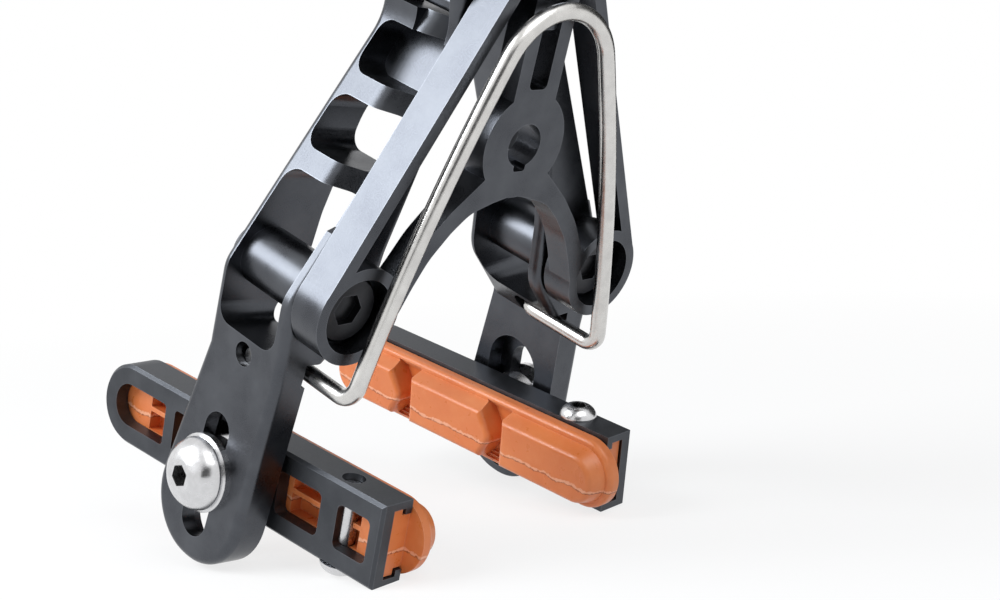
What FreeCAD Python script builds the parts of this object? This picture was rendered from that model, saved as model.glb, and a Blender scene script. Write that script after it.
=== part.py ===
"""Bicycle rim brake: a machined frame with two hinged arms, spread at the top by a sliding cam.

Millimetres, +Z up. The origin is the centre of the mounting-bolt hole, on the frame's mounting face.
The mounting face is the plane Y = 0 and the brake lies behind it, towards +Y. X = 0 is the plane of
symmetry. The right-hand pieces are made first and the left-hand ones are their mirror images.
"""
import FreeCAD
import Part
import math
import os

from collections import namedtuple
from FreeCAD import Vector

# Running and locating clearances, per side
RUNNING_FIT = 0.03
LOCATING_FIT = 0.02
BOLT_CLEARANCE = 0.15
SIDE_PLAY = 0.05
SLIDE_FIT = 0.15
CAM_GAP = 0.3

# Frame
PIVOT_X = 23.8
PIVOT_Z = -22.0
EYE_RADIUS = 6.9
EYE_RECESS_RADIUS = 5.3
EYE_FLOOR = 1.4
FRAME_DEPTH = 5.2
WEB_DEPTH = 4.2
STRUT_ANGLE = 27.8
STRUT_THICKNESS = 1.9
STRUT_SET_IN = 0.06
HUB_RADIUS = 7.5
LEG_BEND = 12.0
MOUNT_BORE_RADIUS = 3.05
MOUNT_NOTCH_WIDTH = 2.2
MOUNT_NOTCH_REACH = 3.7
MOUNT_NOTCH_DEPTH = 2.0
STEM_HALF_WIDTH = 4.0
STEM_SLOT_WIDTH = 3.4
STEM_SLOT_BOTTOM = 7.9
STEM_SLOT_TOP = 29.2
STEM_SLOT_ROUND = 0.8
CROWN_CORNER = 2.0
CROWN_HALF_WIDTH = 6.4
CROWN_BOTTOM = 30.0
CROWN_HEIGHT = 6.0
CROWN_BACK = 5.2

# Leg outline from hub to eye: shares of the pivot's place across and down, and of LEG_BEND
LEG_TOP_RATIOS = ((0.252, 0.2, 0), (0.4706, 0.4, 0.667), (0.6134, 0.5727, 1), (0.7143, 0.7455, 1),
                  (0.8235, 0.9182, 0))
LEG_UNDER_RATIOS = ((0.8487, 1.2545, 0), (0.7185, 1.0455, 1), (0.6429, 0.8636, 1), (0.5588, 0.6909, 1),
                    (0.4286, 0.5273, 0.833), (0.3109, 0.4182, 0.5), (0.1513, 0.3636, 0.333), (0, 0.3273, 0))

# Arms, in arm axes: U sideways from the pivot, W up from the pivot, blade upright
REST_ANGLE = 6.1
ARM_GAP = 0.6
ARM_DEPTH = 15.4
ARM_EDGE_ROUND = 1.2
WALL = 2.0
REAR_WALL = 1.3
BLADE_OUTER = 5.2
BLADE_INNER = 0.15
BLADE_TOP = -13.0
BLADE_BOTTOM = -43.6
BLADE_FOOT_DEPTH = 19.4
BLADE_FOOT_ROUND = 8.8
SLOT_TOP = -23.7
SLOT_BOTTOM = -37.3
SLOT_FLANGE = 2.2
WIDE_SLOT_HALF_WIDTH = 5.15
BARREL_RADIUS = 4.3
SHOULDER_U = 6.4
SHOULDER_W = -0.8
BODY_TOP_U = -9.7
BODY_TOP_W = 35.3
BODY_TOP_WIDTH = 5.6
WAIST_U = -10.2
WAIST_W = 20.5
WINDOW_BOTTOM = -9.0
RUNG_BOTTOMS = (13.4, 24.2)
TOP_RUNG_DROP = 0.4
RUNG_HEIGHT = 3.0
WINDOW_ROUND = 2.4
POCKET_FLOOR = 1.5
SCOOP_BOTTOM_W = 8.8
SCOOP_START = 8.2
SCOOP_ANGLE = 38.0
SCOOP_ROUND = 3.5
SCOOP_RAMP_RATIO = 1.2
FRONT_WALL_DROP = 0.9
THROUGH = 60.0
ROLLER_SET_IN = 1.4
EAR_RISE = 9.5
ROLLER_RADIUS = 3.0
EAR_RADIUS = 3.6

# Pivot hardware
PIVOT_BOLT_RADIUS = 2.5
PIVOT_HEAD_RADIUS = 4.75
PIVOT_HEAD_HEIGHT = 1.5
PIVOT_SOCKET = 4.0
BUSH_WALL = 0.75
BUSH_LENGTH = 5.0
THRUST_WASHER_RADIUS = 4.8
REAR_WASHER_RADIUS = 4.1
REAR_WASHER_THICKNESS = 0.4
NUT_RADIUS = 3.7
NUT_HEIGHT = 1.2
NUT_SLOT_WIDTH = 1.1
ROLLER_PIN_RADIUS = 1.5

# Return spring
WIRE_RADIUS = 1.2
WIRE_FACE_GAP = 1.1
SPRING_TOP = 19.4
SPRING_TOP_RADIUS = 10.2
SPRING_TOP_ANGLE = 23.0
SPRING_LEG_RADIUS = 260.0
SPRING_END_ANGLE = 12.8
SPRING_TAIL = 2.7
SPRING_BEND = 2.6
SPRING_HOOK_Y = 13.4
GROOVE_CLEARANCE = 0.5

# Pad bolt and its washers
PAD_BOLT_RADIUS = 2.5
PAD_BOLT_Y = 14.7
PAD_HEAD_RADIUS = 5.1
PAD_HEAD_HEIGHT = 3.3
PAD_SOCKET = 2.8
PAD_SOCKET_DEPTH = 2.2
BOLT_WASHER_RADIUS = 5.5
BOLT_WASHER_THICKNESS = 1.2
DOME_SPHERE_RADIUS = 8.0
DOME_WASHER_RADIUS = 4.6
DOME_WASHER_EDGE = 0.7
DOME_CLEARANCE = 0.1
SEAT_WASHER_RADIUS = 4.9
SEAT_LIFT = 0.7
TILT_CLEARANCE = 0.65
HOLDER_GAP = 0.85

# Pad holder and pad, in holder axes: S along it from the bolt, T up, D in from its outer face
HOLDER_FRONT = -27.4
HOLDER_REAR = 31.6
HOLDER_HEIGHT = 12.2
HOLDER_DEPTH = 5.45
HOLDER_PLATE = 2.1
HOLDER_FLANGE = 1.1
HOLDER_LIP = 1.1
HOLDER_LIP_REACH = 0.9
HOLDER_BEVEL = 0.45
HOLDER_WINDOW_HEIGHT = 6.4
FRONT_WINDOWS = ((-25.4, -19.3), (-16.1, -7.6))
REAR_SLOT = (12.4, 15.2)
REAR_WINDOW_START = 17.3
PAD_CLEARANCE = 0.2
PAD_FACE_DEPTH = 10.2
PAD_FACE_HALF_HEIGHT = 3.65
PAD_FACE_DROP = 0.3
PAD_FACE_ROUND = 0.9
PAD_BEAD_HALF_HEIGHT = 5.5
PAD_BEAD_THICKNESS = 1.9
PAD_BEAD_ROUND = 0.8
PAD_BLOCK_SET_IN = 0.75
PAD_NOSE = 3.0
PAD_GROOVES = (-7.45, 13.4)
PAD_GROOVE_WIDTH = 2.1
PAD_GROOVE_RATIO = 0.65
PAD_GROOVE_DROP = 0.45
PAD_GROOVE_STEP = 0.45
PAD_POCKETS = ((-21.8, -16.4), (-14.6, -8.4), (19.8, 23.2))
PAD_POCKET_HALF_HEIGHT = 3.2
PAD_POCKET_DEPTH = 2.0
PAD_RIB = 0.7
PAD_SCREW_S = -18.8
PAD_SCREW_D = 2.75
PAD_SCREW_RADIUS = 1.5
PAD_SCREW_HEAD_RADIUS = 2.85
PAD_SCREW_HEAD_HEIGHT = 1.65
PAD_SCREW_SOCKET = 2.0
PAD_SCREW_END_GAP = 1.0

# How each pad is set: bolt height in the slot, tilts in degrees, and the side its screw goes in from
PadSetting = namedtuple("PadSetting", "height pitch toe camber screw_side")
LEFT_PAD = PadSetting(height=-30.1, pitch=6.0, toe=3.2, camber=2.7, screw_side=-1)
RIGHT_PAD = PadSetting(height=-30.9, pitch=8.4, toe=-0.3, camber=2.7, screw_side=1)

# Cam and cable hardware
CAM_FLANK_ANGLE = 45.0
CAM_THICKNESS = 6.0
CAM_TOP_HALF_WIDTH = 2.4
CAM_BOTTOM_HALF_WIDTH = 8.2
CAM_SKIRT = 1.6
TONGUE_HEIGHT = 4.2
CABLE_RADIUS = 0.8
ANCHOR_BOLT_RADIUS = 2.0
ANCHOR_HEAD_RADIUS = 3.2
ANCHOR_HEAD_HEIGHT = 3.0
ANCHOR_SOCKET = 2.5
ADJUSTER_RADIUS = 3.0
ADJUSTER_HEAD_RADIUS = 4.6
ADJUSTER_HEAD_HEIGHT = 7.0
HOUSING_RADIUS = 2.5
HOUSING_DEPTH = 5.0
LOCK_RING_RADIUS = 5.2
LOCK_RING_HEIGHT = 1.8
KNURL_COUNT = 18
KNURL_DEPTH = 0.35

# Worked out from the sizes above
ARM_FRONT = FRAME_DEPTH + ARM_GAP
ARM_BACK = ARM_FRONT + ARM_DEPTH
ARM_MIDDLE = (ARM_FRONT + ARM_BACK) / 2
PIVOT = Vector(PIVOT_X, 0, PIVOT_Z)
ROLLER_U = BODY_TOP_U - ROLLER_SET_IN
ROLLER_W = BODY_TOP_W + EAR_RISE
WIRE_Y = -(WIRE_FACE_GAP + WIRE_RADIUS)
BUSH_RADIUS = PIVOT_BOLT_RADIUS + RUNNING_FIT + BUSH_WALL
HOLDER_HALF = HOLDER_HEIGHT / 2
HOLDER_END = HOLDER_REAR - HOLDER_HALF
HOLDER_OUTER_U = BLADE_INNER - HOLDER_GAP
CROWN_TOP = CROWN_BOTTOM + CROWN_HEIGHT
X_AXIS = Vector(1, 0, 0)
Y_AXIS = Vector(0, 1, 0)
Z_AXIS = Vector(0, 0, 1)


def in_plane(axis, level):
    """A function that puts a flat point (a, b) in the plane across the given axis."""
    if axis == "x":
        return lambda a, b: Vector(level, a, b)
    if axis == "y":
        return lambda a, b: Vector(a, level, b)
    return lambda a, b: Vector(a, b, level)


def rounded_wire(corners, place):
    """A closed wire through corners (a, b, radius), each corner rounded to its radius."""
    count = len(corners)
    ends = []
    edges = []
    for index in range(count):
        a, b, radius = corners[index]
        here = Vector(a, b, 0)
        before = Vector(*corners[index - 1][:2], 0) - here
        after = Vector(*corners[(index + 1) % count][:2], 0) - here
        before.normalize()
        after.normalize()
        if radius == 0:
            ends.append((here, here))
            continue
        half = math.acos(max(-1.0, min(1.0, before.dot(after)))) / 2
        reach = radius / math.tan(half)
        start = here + before * reach
        stop = here + after * reach
        middle = before + after
        middle.normalize()
        crest = here + middle * (radius / math.sin(half) - radius)
        ends.append((start, stop))
        edges.append((index, Part.Arc(*(place(p.x, p.y) for p in (start, crest, stop))).toShape()))
    arcs = dict(edges)
    loop = []
    for index in range(count):
        if index in arcs:
            loop.append(arcs[index])
        here = ends[index][1]
        there = ends[(index + 1) % count][0]
        if (there - here).Length > 1e-6:
            loop.append(Part.LineSegment(place(here.x, here.y), place(there.x, there.y)).toShape())
    return Part.Wire(loop)


def prism(corners, axis, low, high):
    """A solid of the rounded outline, from one level to another along an axis."""
    face = Part.Face(rounded_wire(corners, in_plane(axis, low)))
    along = {"x": X_AXIS, "y": Y_AXIS, "z": Z_AXIS}[axis]
    return face.extrude(along * (high - low))


def rectangle(a0, a1, b0, b1, radius=0):
    return [(a0, b0, radius), (a1, b0, radius), (a1, b1, radius), (a0, b1, radius)]


def rod(radius, base, along, length):
    return Part.makeCylinder(radius, length, base, along)


def tube(outer, inner, base, along, length):
    return rod(outer, base, along, length).cut(rod(inner, base, along, length))


def hexagon(across_flats, base, along, length):
    """A hexagonal prism about an axis, for nuts and for hexagon sockets."""
    corner = across_flats / math.sqrt(3)
    points = [Vector(corner * math.cos(math.radians(60 * n)), corner * math.sin(math.radians(60 * n)), 0)
              for n in range(6)]
    solid = Part.Face(Part.makePolygon(points + points[:1])).extrude(Z_AXIS * length)
    solid.Placement = FreeCAD.Placement(base, FreeCAD.Rotation(Z_AXIS, along))
    return solid


def turned(profile, base, along):
    """A solid of revolution: profile holds (radius, height) corners or arcs of three such points."""
    edges = []
    for piece in profile:
        points = [Vector(r, 0, h) for r, h in piece]
        curve = Part.Arc(*points) if len(points) == 3 else Part.LineSegment(*points)
        edges.append(curve.toShape())
    solid = Part.Face(Part.Wire(edges)).revolve(Vector(0, 0, 0), Z_AXIS, 360)
    solid = Part.Solid(solid.Shells[0]) if solid.ShapeType != "Solid" else solid
    solid.Placement = FreeCAD.Placement(base, FreeCAD.Rotation(Z_AXIS, along))
    return solid


def button_bolt(head_radius, head_height, shank_radius, shank_length, socket, socket_depth):
    """A button-head bolt along +Z: head underside at 0, shank above it, hexagon socket below."""
    crown = head_radius * 0.45
    shoulder = head_radius * 0.82
    bolt = turned([
        [(0, -head_height), (crown, -head_height)],
        [(crown, -head_height), (shoulder, -head_height * 0.68), (head_radius, -head_height * 0.12)],
        [(head_radius, -head_height * 0.12), (head_radius, 0)],
        [(head_radius, 0), (0, 0)],
        [(0, 0), (0, -head_height)],
    ], Vector(0, 0, 0), Z_AXIS)
    bolt = bolt.fuse(rod(shank_radius, Vector(0, 0, 0), Z_AXIS, shank_length))
    bolt = bolt.cut(hexagon(socket, Vector(0, 0, -head_height - 1), Z_AXIS, socket_depth + 1))
    return bolt.removeSplitter()


def fillet_where(solid, radius, chosen):
    return solid.makeFillet(radius, [edge for edge in solid.Edges if chosen(edge)])


def chamfer_where(solid, size, chosen):
    return solid.makeChamfer(size, [edge for edge in solid.Edges if chosen(edge)])


def at_level(edge, axis, level):
    box = edge.BoundBox
    low, high = {"x": (box.XMin, box.XMax), "y": (box.YMin, box.YMax), "z": (box.ZMin, box.ZMax)}[axis]
    return abs(low - level) < 1e-4 and abs(high - level) < 1e-4


def put_on_arm(solid):
    """From the right arm's axes to its place: turned open by the rest angle about the pivot."""
    placed = solid.copy()
    placed.rotate(Vector(0, 0, 0), Y_AXIS, -REST_ANGLE)
    placed.translate(PIVOT)
    return placed


def mirrored(solid):
    return solid.mirror(Vector(0, 0, 0), X_AXIS)


def frame_strut():
    """One slanted strut of the frame, tangent to its eye and running up into the crown."""
    lean = math.radians(STRUT_ANGLE)
    up = Vector(-math.sin(lean), 0, math.cos(lean))
    out = Vector(math.cos(lean), 0, math.sin(lean))
    foot = PIVOT + out * (EYE_RADIUS - STRUT_SET_IN)
    length = (CROWN_BOTTOM + CROWN_HEIGHT / 2 - foot.z) / up.z
    head = foot + up * length
    corners = [foot, head, head - out * STRUT_THICKNESS, foot - out * STRUT_THICKNESS]
    return prism([(p.x, p.z, 0) for p in corners], "y", 0, FRAME_DEPTH)


def frame_web():
    """One curved leg from the hub to its eye, as a flat plate."""
    ratios = ((0, 0, 0),) + LEG_TOP_RATIOS + ((1, 1, 0),) + LEG_UNDER_RATIOS
    leg = [(across * PIVOT_X, down * PIVOT_Z, bend * LEG_BEND) for across, down, bend in ratios]
    return prism(leg, "y", 0, WEB_DEPTH)


def bridge_frame():
    half = frame_strut().fuse([rod(EYE_RADIUS, PIVOT, Y_AXIS, FRAME_DEPTH), frame_web()])
    crown_depth = ARM_MIDDLE + CROWN_BACK
    crown = prism(rectangle(-CROWN_HALF_WIDTH, CROWN_HALF_WIDTH, 0, crown_depth, CROWN_CORNER),
                  "z", CROWN_BOTTOM, CROWN_TOP)
    crown = chamfer_where(crown, 0.5, lambda edge: at_level(edge, "z", CROWN_TOP))
    hub = rod(HUB_RADIUS, Vector(0, 0, 0), Y_AXIS, WEB_DEPTH)
    stem = prism(rectangle(-STEM_HALF_WIDTH, STEM_HALF_WIDTH, 0, CROWN_BOTTOM + 1), "y", 0, WEB_DEPTH)
    frame = half.fuse([mirrored(half), hub, stem, crown]).removeSplitter()
    slot_half = STEM_SLOT_WIDTH / 2
    cuts = [
        rod(MOUNT_BORE_RADIUS, Vector(0, -1, 0), Y_AXIS, WEB_DEPTH + 2),
        prism(rectangle(-MOUNT_NOTCH_WIDTH / 2, MOUNT_NOTCH_WIDTH / 2, -MOUNT_NOTCH_REACH, 0, 0.4),
              "y", -1, MOUNT_NOTCH_DEPTH),
        prism(rectangle(-slot_half, slot_half, STEM_SLOT_BOTTOM, STEM_SLOT_TOP, STEM_SLOT_ROUND),
              "y", -1, WEB_DEPTH + 1),
        rod(ADJUSTER_RADIUS + LOCATING_FIT, Vector(0, ARM_MIDDLE, CROWN_BOTTOM - 1), Z_AXIS,
            CROWN_HEIGHT + 2),
    ]
    recess_depth = FRAME_DEPTH - EYE_FLOOR
    for side in (-1, 1):
        eye = Vector(side * PIVOT_X, 0, PIVOT_Z)
        cuts.append(rod(EYE_RECESS_RADIUS, eye - Y_AXIS, Y_AXIS, recess_depth + 1))
        cuts.append(rod(PIVOT_BOLT_RADIUS + LOCATING_FIT, eye, Y_AXIS, FRAME_DEPTH + 1))
    return frame.cut(cuts)


def inner_line():
    """The two ends of the beam's inner edge above its waist."""
    return Vector(WAIST_U, 0, WAIST_W), Vector(BODY_TOP_U - BODY_TOP_WIDTH, 0, BODY_TOP_W - 1.2)


def outer_line():
    """A point on the beam's straight outer edge, the edge's direction and the way out of it."""
    foot = Vector(SHOULDER_U, 0, SHOULDER_W)
    along = Vector(BODY_TOP_U, 0, BODY_TOP_W) - foot
    along.normalize()
    return foot, along, Vector(along.z, 0, -along.x)


def arm_body():
    """The arm above the blade: a deep beam that leans inwards, ending in an ear for the roller."""
    ear = Vector(ROLLER_U, 0, ROLLER_W)
    waist, top = inner_line()
    outline = [
        (BLADE_OUTER, BLADE_TOP, 0), (SHOULDER_U, SHOULDER_W, 5), (BODY_TOP_U, BODY_TOP_W, 8),
        (ear.x + EAR_RADIUS, ear.z - 3, 8), (ear.x + EAR_RADIUS, ear.z + EAR_RADIUS, EAR_RADIUS * 0.98),
        (ear.x - EAR_RADIUS, ear.z + EAR_RADIUS, EAR_RADIUS * 0.98),
        (ear.x - EAR_RADIUS, ear.z - 3, 8), (top.x, top.z, 6), (waist.x, waist.z, 12),
        (-7.9, 6.4, 10), (-7.5, -3.0, 7), (BLADE_INNER, BLADE_TOP, 0),
    ]
    body = prism(outline, "y", ARM_FRONT, ARM_BACK)
    faces = (ARM_FRONT, ARM_BACK)
    return fillet_where(body, ARM_EDGE_ROUND, lambda edge: any(at_level(edge, "y", face) for face in faces)
                        and edge.BoundBox.ZMax > BLADE_TOP + 0.1)


def arm_blade():
    """The flat blade that carries the pad, with a round lower end."""
    outline = [(ARM_FRONT, BLADE_BOTTOM, BLADE_FOOT_ROUND),
               (ARM_FRONT + BLADE_FOOT_DEPTH, BLADE_BOTTOM, BLADE_FOOT_ROUND),
               (ARM_BACK, BLADE_TOP, 0), (ARM_BACK, BLADE_TOP / 2, 0), (ARM_FRONT, BLADE_TOP / 2, 0)]
    blade = prism(outline, "x", BLADE_INNER, BLADE_OUTER)
    top = BLADE_TOP / 2
    return fillet_where(blade, ARM_EDGE_ROUND,
                        lambda edge: at_level(edge, "x", BLADE_OUTER) and edge.BoundBox.ZMin < top - 0.1)


def arm_window(bottom, top):
    """A rounded opening through the arm from side to side, between its front and back walls."""
    outline = rectangle(ARM_FRONT + WALL, ARM_BACK - REAR_WALL, bottom, top, WINDOW_ROUND)
    return prism(outline, "x", -THROUGH, THROUGH)


def arm_pocket(bottom, top):
    """A window that is closed on the inner side by a floor along the beam's inner edge."""
    waist, head = inner_line()
    along = head - waist
    along.normalize()
    out = Vector(along.z, 0, -along.x)
    low = waist - along * THROUGH + out * POCKET_FLOOR
    high = waist + along * THROUGH + out * POCKET_FLOOR
    outside = [(low.x, low.z, 0), (low.x + 2 * THROUGH, low.z, 0), (high.x + 2 * THROUGH, high.z, 0),
               (high.x, high.z, 0)]
    return arm_window(bottom, top).common(prism(outside, "y", ARM_FRONT, ARM_BACK))


def along_outer_edge(profile, top):
    """A cut along the beam's outer edge, from edges given by a function of depth and y, up to a level."""
    foot, along, out = outer_line()
    start = foot + along * ((SCOOP_BOTTOM_W - foot.z) / along.z)
    slant = out - along * SCOOP_RAMP_RATIO
    edges = profile(lambda y, depth: start + Y_AXIS * y - slant * depth)
    cut = Part.Face(Part.Wire(edges)).extrude(along * (2 * BODY_TOP_W))
    return cut.common(prism(rectangle(-THROUGH, THROUGH, -THROUGH, top), "y", 0, ARM_BACK))


def scoop_profile(place):
    """The hollow behind the front wall: round at its far edge, then straight down to the wall."""
    far = ARM_FRONT + SCOOP_START
    wall = ARM_FRONT + WALL
    turn = math.radians(SCOOP_ANGLE)
    bend = far - SCOOP_ROUND * math.sin(turn)
    bend_depth = SCOOP_ROUND * (1 - math.cos(turn))
    middle = place(far - SCOOP_ROUND * math.sin(turn / 2), SCOOP_ROUND * (1 - math.cos(turn / 2)))
    low = place(wall, bend_depth + (bend - wall) * math.tan(turn))
    corners = [low, place(wall, -SCOOP_START), place(far, -SCOOP_START), place(far, 0)]
    edges = [Part.Arc(place(far, 0), middle, place(bend, bend_depth)).toShape()]
    edges.append(Part.LineSegment(place(bend, bend_depth), low).toShape())
    edges.extend(Part.LineSegment(one, two).toShape() for one, two in zip(corners, corners[1:]))
    return edges


def wall_profile(place):
    """What the front wall stands lower than the rungs' far ends."""
    wall = ARM_FRONT + WALL
    corners = [place(0, FRONT_WALL_DROP), place(wall, FRONT_WALL_DROP), place(wall, -SCOOP_START),
               place(0, -SCOOP_START), place(0, FRONT_WALL_DROP)]
    return [Part.LineSegment(one, two).toShape() for one, two in zip(corners, corners[1:])]


def slot_cut(half_width, low_u, high_u):
    outline = rectangle(PAD_BOLT_Y - half_width, PAD_BOLT_Y + half_width,
                        SLOT_BOTTOM - half_width, SLOT_TOP + half_width, half_width * 0.999)
    return prism(outline, "x", low_u, high_u)


def spring_corner():
    """Where the spring's front leg would meet its rearward leg, at rest."""
    top_centre = SPRING_TOP - SPRING_TOP_RADIUS
    shoulder = math.radians(SPRING_TOP_ANGLE)
    end = math.radians(SPRING_END_ANGLE)
    outward = Vector(math.cos(shoulder), 0, math.sin(shoulder))
    joint = Vector(0, WIRE_Y, top_centre) + outward * SPRING_TOP_RADIUS
    centre = joint - outward * SPRING_LEG_RADIUS
    foot = centre + Vector(math.cos(end), 0, math.sin(end)) * SPRING_LEG_RADIUS
    down = Vector(math.sin(end), 0, -math.cos(end))
    return joint, centre, foot, down


def spring_hook():
    """The spring's hook in the arm's axes, so that the groove and the hole follow the wire."""
    joint, centre, foot, down = spring_corner()
    corner = foot + down * SPRING_TAIL
    turn = FreeCAD.Rotation(Y_AXIS, REST_ANGLE)
    return turn.multVec(corner - PIVOT)


def right_arm():
    arm = arm_body().fuse(arm_blade()).removeSplitter()
    first, second = RUNG_BOTTOMS
    third = BODY_TOP_W - TOP_RUNG_DROP
    hook = spring_hook()
    groove = WIRE_RADIUS + GROOVE_CLEARANCE
    cuts = [
        arm_window(WINDOW_BOTTOM, first),
        arm_window(first + RUNG_HEIGHT, second),
        arm_pocket(second + RUNG_HEIGHT, third),
        prism(rectangle(ARM_FRONT + WALL, ARM_BACK - WALL, third + RUNG_HEIGHT, ROLLER_W + THROUGH),
              "x", -THROUGH, THROUGH),
        along_outer_edge(scoop_profile, third + RUNG_HEIGHT),
        along_outer_edge(wall_profile, third),
        slot_cut(PAD_BOLT_RADIUS + BOLT_CLEARANCE, -THROUGH, THROUGH),
        slot_cut(WIDE_SLOT_HALF_WIDTH, -THROUGH, BLADE_OUTER - SLOT_FLANGE),
        rod(groove, Vector(hook.x - THROUGH, SPRING_HOOK_Y, hook.z), X_AXIS, 2 * THROUGH),
        prism(rectangle(-THROUGH, hook.x + groove, hook.z - groove, hook.z + groove), "y", 0, SPRING_HOOK_Y),
        rod(ROLLER_PIN_RADIUS + LOCATING_FIT, Vector(ROLLER_U, 0, ROLLER_W), Y_AXIS, ARM_BACK + 1),
    ]
    barrel = rod(BARREL_RADIUS, Vector(0, ARM_FRONT + WALL / 2, 0), Y_AXIS, ARM_DEPTH - WALL)
    arm = arm.cut(cuts).fuse(barrel)
    arm = arm.cut(rod(BUSH_RADIUS + LOCATING_FIT, Vector(0, 0, 0), Y_AXIS, ARM_BACK + 1))
    return put_on_arm(arm.removeSplitter())


def pivot_bolt():
    head_top = FRAME_DEPTH - EYE_FLOOR - PIVOT_HEAD_HEIGHT
    shank_end = ARM_BACK + 2 * SIDE_PLAY + REAR_WASHER_THICKNESS + NUT_HEIGHT
    bolt = rod(PIVOT_HEAD_RADIUS, PIVOT + Y_AXIS * head_top, Y_AXIS, PIVOT_HEAD_HEIGHT)
    bolt = chamfer_where(bolt, 0.4, lambda edge: at_level(edge, "y", head_top))
    bolt = bolt.fuse(rod(PIVOT_BOLT_RADIUS, PIVOT + Y_AXIS * head_top, Y_AXIS, shank_end - head_top))
    socket_depth = PIVOT_HEAD_HEIGHT * 0.8
    return bolt.cut(hexagon(PIVOT_SOCKET, PIVOT + Y_AXIS * (head_top - 1), Y_AXIS, socket_depth + 1))


def pivot_bush(start):
    base = PIVOT + Y_AXIS * start
    return tube(BUSH_RADIUS, PIVOT_BOLT_RADIUS + RUNNING_FIT, base, Y_AXIS, BUSH_LENGTH)


def thrust_washer(radius, start, thickness):
    base = PIVOT + Y_AXIS * start
    return tube(radius, PIVOT_BOLT_RADIUS + RUNNING_FIT, base, Y_AXIS, thickness)


def pivot_nut():
    """Low round nut behind the arm, with a slot for a spanner."""
    base = PIVOT + Y_AXIS * (ARM_BACK + 2 * SIDE_PLAY + REAR_WASHER_THICKNESS)
    back = base.y + NUT_HEIGHT
    nut = rod(NUT_RADIUS, base, Y_AXIS, NUT_HEIGHT)
    nut = chamfer_where(nut, NUT_HEIGHT / 4, lambda edge: at_level(edge, "y", back))
    slot = rectangle(PIVOT.x - 2 * NUT_RADIUS, PIVOT.x + 2 * NUT_RADIUS,
                     PIVOT.z - NUT_SLOT_WIDTH / 2, PIVOT.z + NUT_SLOT_WIDTH / 2)
    cuts = [rod(PIVOT_BOLT_RADIUS + LOCATING_FIT, base, Y_AXIS, NUT_HEIGHT),
            prism(slot, "y", back - NUT_HEIGHT / 2, back + NUT_HEIGHT)]
    return nut.cut(cuts)


def corner_arc(corner, arrive, leave, radius):
    """A round bend at a corner: its first and last points and the arc between them."""
    half = math.acos(max(-1.0, min(1.0, -arrive.dot(leave)))) / 2
    reach = radius / math.tan(half)
    start = corner - arrive * reach
    stop = corner + leave * reach
    inward = leave - arrive
    inward.normalize()
    crest = corner + inward * (radius / math.sin(half) - radius)
    return start, stop, Part.Arc(start, crest, stop).toShape()


def return_spring():
    """One bent wire: a long inverted U in front of the frame, its ends hooked into the arms."""
    joint, centre, foot, down = spring_corner()
    corner = foot + down * SPRING_TAIL
    hook = Vector(corner.x, SPRING_HOOK_Y, corner.z)
    tip = Vector(PIVOT_X + BLADE_OUTER, SPRING_HOOK_Y, corner.z)
    bend_a, bend_b, front_bend = corner_arc(corner, down, Y_AXIS, SPRING_BEND)
    hook_a, hook_b, hook_bend = corner_arc(hook, Y_AXIS, X_AXIS, SPRING_BEND)
    middle = math.radians((SPRING_TOP_ANGLE + SPRING_END_ANGLE) / 2)
    leg_middle = centre + Vector(math.cos(middle), 0, math.sin(middle)) * SPRING_LEG_RADIUS
    apex = Vector(0, WIRE_Y, SPRING_TOP)
    opposite = Vector(-joint.x, joint.y, joint.z)
    right = [
        Part.Arc(joint, leg_middle, foot).toShape(),
        Part.LineSegment(foot, bend_a).toShape(),
        front_bend,
        Part.LineSegment(bend_b, hook_a).toShape(),
        hook_bend,
        Part.LineSegment(hook_b, tip).toShape(),
    ]
    left = [mirrored(edge) for edge in reversed(right)]
    path = Part.Wire(left + [Part.Arc(opposite, apex, joint).toShape()] + right)
    start = Vector(-tip.x, tip.y, tip.z)
    section = Part.Wire(Part.makeCircle(WIRE_RADIUS, start, X_AXIS))
    wire = path.makePipeShell([section], True, False)
    return wire if wire.ShapeType == "Solid" else Part.Solid(wire.Shells[0])


def ball_centre(setting):
    """Centre of the domed washer's sphere on the bolt's axis, in the arm's axes."""
    u = HOLDER_OUTER_U + DOME_WASHER_EDGE + dome_rise() - DOME_SPHERE_RADIUS
    return Vector(u, PAD_BOLT_Y, setting.height)


def put_on_holder(solid, setting):
    """From holder axes, drawn as X = D, Y = S, Z = T, to the arm's axes, tilted on the domed washer."""
    placed = solid.mirror(Vector(0, 0, 0), X_AXIS)
    placed.translate(Vector(HOLDER_OUTER_U, PAD_BOLT_Y, setting.height))
    ball = ball_centre(setting)
    placed.rotate(ball, X_AXIS, -setting.pitch)
    placed.rotate(ball, Z_AXIS, -setting.toe)
    placed.rotate(ball, Y_AXIS, setting.camber)
    return put_on_arm(placed)


def dome_rise():
    """Height of the domed washer's cap above its edge."""
    return DOME_SPHERE_RADIUS - math.sqrt(DOME_SPHERE_RADIUS ** 2 - DOME_WASHER_RADIUS ** 2)


def stadium(half, front, inset=0.0):
    """Holder outline in S and T: square in front, half round behind."""
    half -= inset
    rear = HOLDER_END + half
    return [(front, -half, 0), (rear, -half, half * 0.999), (rear, half, half * 0.999), (front, half, 0)]


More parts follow.
